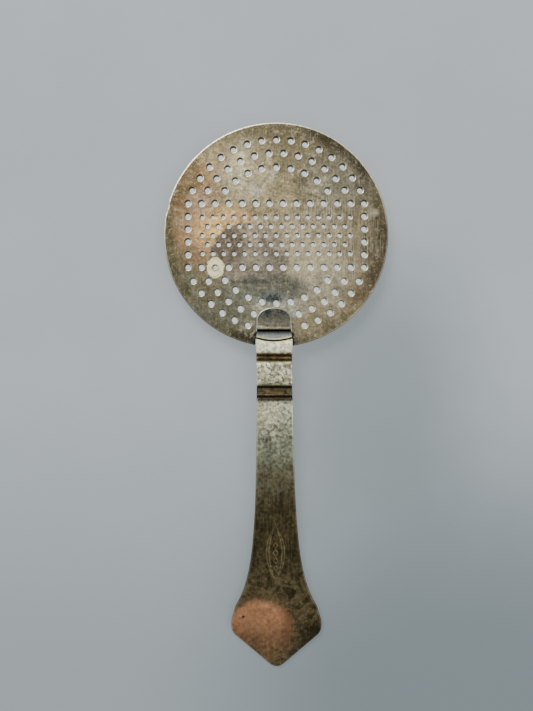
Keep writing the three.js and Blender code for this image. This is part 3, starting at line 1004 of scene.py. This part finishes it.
class HandleMetal(WornMetal):
    """The same plate on the strip: cream on the crests, brown in the grooves, dark at the end."""

    def __init__(self):
        super().__init__("tarnished_handle")
        self.distance = self.times(self.y, -1)
        self.broad = self.noise(12, 4, seed=31, bend=0.8)
        self.middle = self.noise(3.4, 5, seed=32, bend=0.6)
        self.small = self.noise(1.5, 4, seed=35, roughness=0.7)
        self.fine = self.noise(0.8, 3, seed=33, roughness=0.7)
        self.pepper = self.noise(1.25, 1, seed=38)
        self.streaks = self.noise(2.4, 4, (0.4, 4, 1), seed=34)
        self.across = self.noise(1.9, 2, (1.8, 0.6, 1), seed=36, bend=0.8)
        self.hairs = self.noise(1.0, 3, (0.16, 8, 1), seed=37)
        self.hair_lines = self.levels(self.hairs, 0.58, 0.7)
        # Less on the right: the edges take a painted highlight on the left, which faces the light.
        self.edge = self.times(self.attribute("edge"), self.levels(self.x, 5, -5, 0.45, 1.0))
        first = self.times(self.levels(self.z, 6.2, 6.8), self.along(44.5, 43.5))
        self.first = self.times(first, self.along(37.5, 38))
        self.stepped = self.times(self.along(42.5, 43.5), self.along(62.3, 61.2))
        self.shaken = self.math("ADD", self.z, self.math("SUBTRACT", self.small, 0.5))
        second = self.times(self.levels(self.shaken, 7.0, 8.8), self.stepped)
        self.crest = self.math("MAXIMUM", second, self.first)
        self.low = self.times(self.levels(self.shaken, 8.7, 7.0), self.stepped)
        worn = self.spot(-6, -150.4, 12.6, 12.4, 0.13, 0.3, self.middle)
        self.worn = self.times(worn, self.along(160, 146, 0.3, 1.0))

    def along(self, start, end, low=0.0, high=1.0):
        """A value that turns from low to high between two distances along the strip."""
        return self.levels(self.distance, start, end, low, high)

    def blade(self):
        """From cream at the grooves over grey-green to dark brown, with blotches; the fall to dark
        is partly tarnish and partly a painted reflection.
        """
        wobble = self.times(self.math("SUBTRACT", self.broad, 0.5), 22)
        place = self.math("ADD", self.distance, wobble)
        # The fall from cream to dark brown along the blade is partly tarnish and partly a painted
        # reflection.
        pale = self.mix(self.levels(place, 62, 87), srgb(238, 238, 202), srgb(130, 133, 108))
        self.colour = self.mix(self.levels(place, 80, 106), pale, srgb(60, 54, 32))
        warm = self.times(self.levels(self.broad, 0.4, 0.6), self.along(83, 88))
        self.lay(warm, 0.4, (92, 76, 48))
        tail = self.times(self.along(122, 132), self.levels(self.middle, 0.36, 0.5))
        self.lay(tail, 0.7, (106, 94, 64))
        dark = self.times(self.levels(self.middle, 0.52, 0.4), self.along(92, 104))
        self.lay(dark, 0.6, (40, 38, 20))
        self.patch(3, -102, 5, 5, 0.5, 0.9, self.middle, 0.6, (42, 40, 22))

    def blade_grain(self):
        """Brushed streaks on the dark part, speckles and a yellow cast on the pale one."""
        brushed = self.times(self.levels(self.streaks, 0.42, 0.62), self.along(83, 89))
        brushed = self.times(brushed, self.along(120, 100, 0.4, 1.0))
        self.lay(brushed, 0.35, (112, 98, 66))
        denser = self.times(self.math("SUBTRACT", self.distance, 60), 0.003)
        speckle = self.levels(self.math("ADD", self.small, denser), 0.53, 0.6)
        speckle = self.times(speckle, self.along(84, 76))
        self.lay(speckle, 0.75, (78, 76, 56))
        yellow = (226, 212, 160)
        self.patch(-4, -66, 4, 5.5, 0.6, 0.9, self.small, 0.6, yellow, self.fine, 0.35, 0.6)
        self.lay(self.levels(self.streaks, 0.55, 0.8), 0.2, (122, 114, 86))

    def crests_and_grooves(self):
        """Cream crests, the second one mottled, brown grooves with dark slopes, and painted shade in the
        corner below the flat blade.
        """
        cream = self.mix(self.levels(self.small, 0.45, 0.66), srgb(255, 252, 214), srgb(224, 216, 176))
        self.lay(self.crest, 0.95, cream)
        second = self.times(self.crest, self.along(46, 48))
        mottle = self.times(second, self.levels(self.middle, 0.42, 0.6))
        self.lay(mottle, 0.8, (136, 130, 96))
        blots = self.times(second, self.levels(self.small, 0.5, 0.58))
        self.lay(blots, 0.82, (74, 68, 46))
        brown = self.mix(self.levels(self.across, 0.44, 0.64), srgb(72, 54, 22), srgb(126, 92, 36))
        brown = self.mottled(brown, [
            (self.small, 0.56, 0.68, 0.5, (46, 36, 22)),
            (self.distance, 55, 57.5, 0.35, (52, 42, 22)),
        ])
        self.lay(self.low, 0.92, brown)
        slope = self.times(self.low, self.levels(self.shaken, 5.9, 6.7))
        slope = self.times(slope, self.along(46, 55, 0.35, 1.0))
        self.lay(slope, 0.88, (42, 34, 21))
        # Painted shade in the concave corner where the last groove rises to the flat blade.
        ledge_shade = self.times(self.along(59.7, 60.2), self.along(63.6, 61.2))
        self.lay(ledge_shade, 0.9, (42, 36, 24))

    def tongue(self):
        """The grey tongue, blue-black at its tip, its lip bright with wear and painted highlight,
        and painted shade where it dives under the plate.
        """
        tongue = self.along(36, 35.2)
        shade = self.mix(self.along(28.5, 34), srgb(54, 65, 64), srgb(144, 138, 116))
        shade = self.mottled(shade, [
            (self.middle, 0.4, 0.66, 0.5, (106, 98, 84)),
            (self.x, 0, 6, 0.4, (124, 116, 102)),
            (self.middle, 0.46, 0.36, 0.6, (50, 58, 54)),
            (self.middle, 0.54, 0.64, 0.25, (150, 146, 124)),
            (self.pepper, 0.52, 0.58, 0.6, (44, 50, 46)),
            (self.small, 0.44, 0.34, 0.6, (158, 156, 136)),
        ])
        self.lay(tongue, 1.0, shade)
        # The lip where the strip bends down: wear and a painted highlight.
        lip = self.times(self.along(34.3, 34.8), tongue)
        lip = self.times(lip, self.levels(self.pepper, 0.62, 0.5, 0.35, 1.0))
        # A painted highlight on the tongue's lower left.
        shine = self.spot(-5.6, -34.5, 1.5, 0.4, 0.5, 1.2, self.pepper)
        lip = self.math("MAXIMUM", lip, self.times(shine, tongue))
        self.lay(lip, 0.9, (228, 218, 188))
        # Painted shade, nearly black, on the strip where it runs under the plate.
        dive_in_shade = self.times(self.along(34.9, 35.2), self.along(41.4, 41))
        dive_in_shade = self.times(dive_in_shade, self.levels(self.z, 6.4, 5.8))
        self.lay(dive_in_shade, 0.95, (16, 15, 12))

    def copper_patch(self):
        """Bare copper worn through at the end, with a pit in it and black beside it."""
        self.patch(-8, -149, 15.5, 15.5, 0.2, 0.5, self.middle, 0.6, (104, 86, 58))
        copper = self.mix(self.levels(self.middle, 0.35, 0.65), srgb(182, 130, 92), srgb(206, 150, 106))
        copper = self.mottled(copper, [
            (self.x, -1, 6, 0.75, (128, 84, 54)),
            (self.distance, 143, 154, 0.6, (112, 84, 58)),
        ])
        self.lay(self.worn, 0.88, copper)
        self.lay(self.spot(-12.4, -144.4, 0.55, 0.5, 0.3), 0.9, (60, 24, 18))
        self.patch(14.5, -153, 6, 7, 0.6, 0.6, self.middle, 0.7, (34, 32, 12))

    def texture(self):
        """The pressed ornament's lines, fine scratches and mottling."""
        self.lay(self.attribute("pressed"), 0.6, (128, 118, 84))
        self.lay(self.hair_lines, 0.16, (176, 166, 132))
        calmer = self.along(82, 96, 1.0, 0.75)
        calmer = self.times(calmer, self.levels(self.worn, 0, 1, 1.0, 0.4))
        for grain, low_shade, high_shade in ((self.pepper, 0.62, 1.38), (self.small, 0.76, 1.24)):
            grain = self.math("ADD", self.times(self.math("SUBTRACT", grain, 0.5), calmer), 0.5)
            self.vary(grain, low_shade, high_shade)

    def bright_edges(self):
        """Edges brightened by wear and a painted highlight, strongest on the left, bright near the plate
        except in the grooves.
        """
        bright_end = self.along(100, 60, 0.12, 0.75)
        bright_end = self.times(bright_end, self.levels(self.low, 0, 1, 1, 0))
        # Wear and painted highlight on the edges.
        self.lay(self.times(self.edge, bright_end), 0.9, (238, 232, 210))


def handle_metal():
    """All the handle's layers in order, and its finish."""
    paint = HandleMetal()
    paint.blade()
    paint.blade_grain()
    paint.crests_and_grooves()
    paint.tongue()
    paint.copper_patch()
    paint.texture()
    paint.bright_edges()
    dull = paint.math("MAXIMUM", paint.first, paint.times(paint.crest, 0.5))
    metallic = paint.levels(dull, 0, 1, 0.86, 0.1)
    dents = paint.math("ADD", paint.middle, paint.small)
    paint.finish(0.34, 0.5, metallic, dents, 0.0002, 0.45)
    return paint.material


def spring_metal():
    """Drawn steel wire, dulled, with brown in places."""
    paint = Paint("spring_wire")
    middle = paint.noise(3, 4, seed=51)
    fine = paint.noise(0.5, 3, seed=52)
    colour = paint.mix(paint.levels(middle, 0.3, 0.7), srgb(150, 148, 140), srgb(108, 100, 86))
    rust = paint.times(paint.levels(fine, 0.55, 0.7), paint.levels(middle, 0.5, 0.7))
    colour = paint.mix(paint.times(rust, 0.7), colour, srgb(98, 66, 40))
    paint.surface("Base Color", colour)
    paint.surface("Roughness", paint.levels(fine, 0.2, 0.8, 0.26, 0.45))
    paint.shader.inputs["Metallic"].default_value = 0.95
    paint.surface("Normal", paint.bump(fine, 0.00003, 0.4))
    return paint.material


# ---- stage


def floor():
    """A pale sheet that glows, most of all behind the holes, where the glow stands in for the
    light the plate blocks; painted shadows lie beside the neck and at the far right corner,
    and painted shade darkens it towards the handle's end.
    """
    mesh = bpy.data.meshes.new("pale_floor")
    size = 3.0
    corners = [(-size, -size, 0), (size, -size, 0), (size, size, 0), (-size, size, 0)]
    mesh.from_pydata(corners, [], [(0, 1, 2, 3)])
    paint = Paint("pale_floor")
    cloudy = paint.noise(60, 3, seed=71)
    grain = paint.noise(1.6, 3, seed=72)
    colour = paint.mix(paint.levels(cloudy, 0.3, 0.7), srgb(178, 187, 191), srgb(184, 192, 196))
    # Painted shade: darker towards the handle's end.
    colour = paint.mix(paint.levels(paint.y, -40, -170), colour, srgb(158, 168, 171))
    # A painted shadow beside the handle's neck.
    neck = paint.spot(40, -62, 34, 50, 0.75, 0.3, cloudy)
    colour = paint.stain(colour, neck, 0.8, srgb(140, 151, 152))
    # A painted shadow at the corner beyond the handle's end, on the right.
    corner = paint.spot(70, -190, 85, 90, 0.6, 0.3, cloudy)
    colour = paint.stain(colour, corner, 0.95, srgb(122, 133, 137))
    # Brighter colour and a stronger glow behind the holes, standing in for the light the plate blocks.
    holes = paint.spot(0.1, 1.5, 38.6, 38.6, 0.03)
    colour = paint.stain(colour, holes, 0.8, srgb(180, 191, 195))
    paint.surface("Base Color", paint.mix(0.55, colour, (0, 0, 0, 1)))
    paint.surface("Emission Color", colour)
    paint.surface("Emission Strength", paint.levels(holes, 0, 1, 0.62, 1.62))
    paint.shader.inputs["Roughness"].default_value = 0.9
    paint.surface("Normal", paint.bump(grain, 0.0002, 0.3))
    mesh.materials.append(paint.material)
    in_scene("pale_floor", mesh)


def soft_light(name, place, target, size, power, colour=(1, 1, 1)):
    data = bpy.data.lights.new(name, "AREA")
    data.shape = "RECTANGLE"
    data.size, data.size_y = size
    data.energy = power
    data.color = colour
    light = in_scene(name, data)
    light.location = place
    light.rotation_euler = (Vector(target) - Vector(place)).to_track_quat("-Z", "Y").to_euler()


def lights():
    world = bpy.data.worlds.new("soft_room")
    bpy.context.scene.world = world
    world.use_nodes = True
    background = world.node_tree.nodes["Background"]
    background.inputs["Color"].default_value = (0.93, 0.95, 1.0, 1)
    background.inputs["Strength"].default_value = 0.55
    middle = (0, 0.02, 0)
    soft_light("key", (-0.35, 0.75, 0.75), middle, (0.7, 0.5), 9, (1, 0.98, 0.95))
    soft_light("fill", (0.7, -0.2, 0.8), middle, (0.8, 0.8), 3, (0.95, 0.97, 1))


def camera():
    """Straight down from above the handle's neck, with a phone's wide lens."""
    data = bpy.data.cameras.new("camera")
    data.sensor_fit = "VERTICAL"
    data.sensor_height = 36
    data.lens = 26.2
    data.clip_start = 0.01
    piece = in_scene("camera", data)
    piece.location = Vector((CAMERA_X, CENTRE_Y + CAMERA_Y, CAMERA_HEIGHT)) * MM
    bpy.context.scene.camera = piece


camera()
lights()
floor()
plate().data.materials.append(plate_metal())
handle().data.materials.append(handle_metal())
coil().data.materials.append(spring_metal())
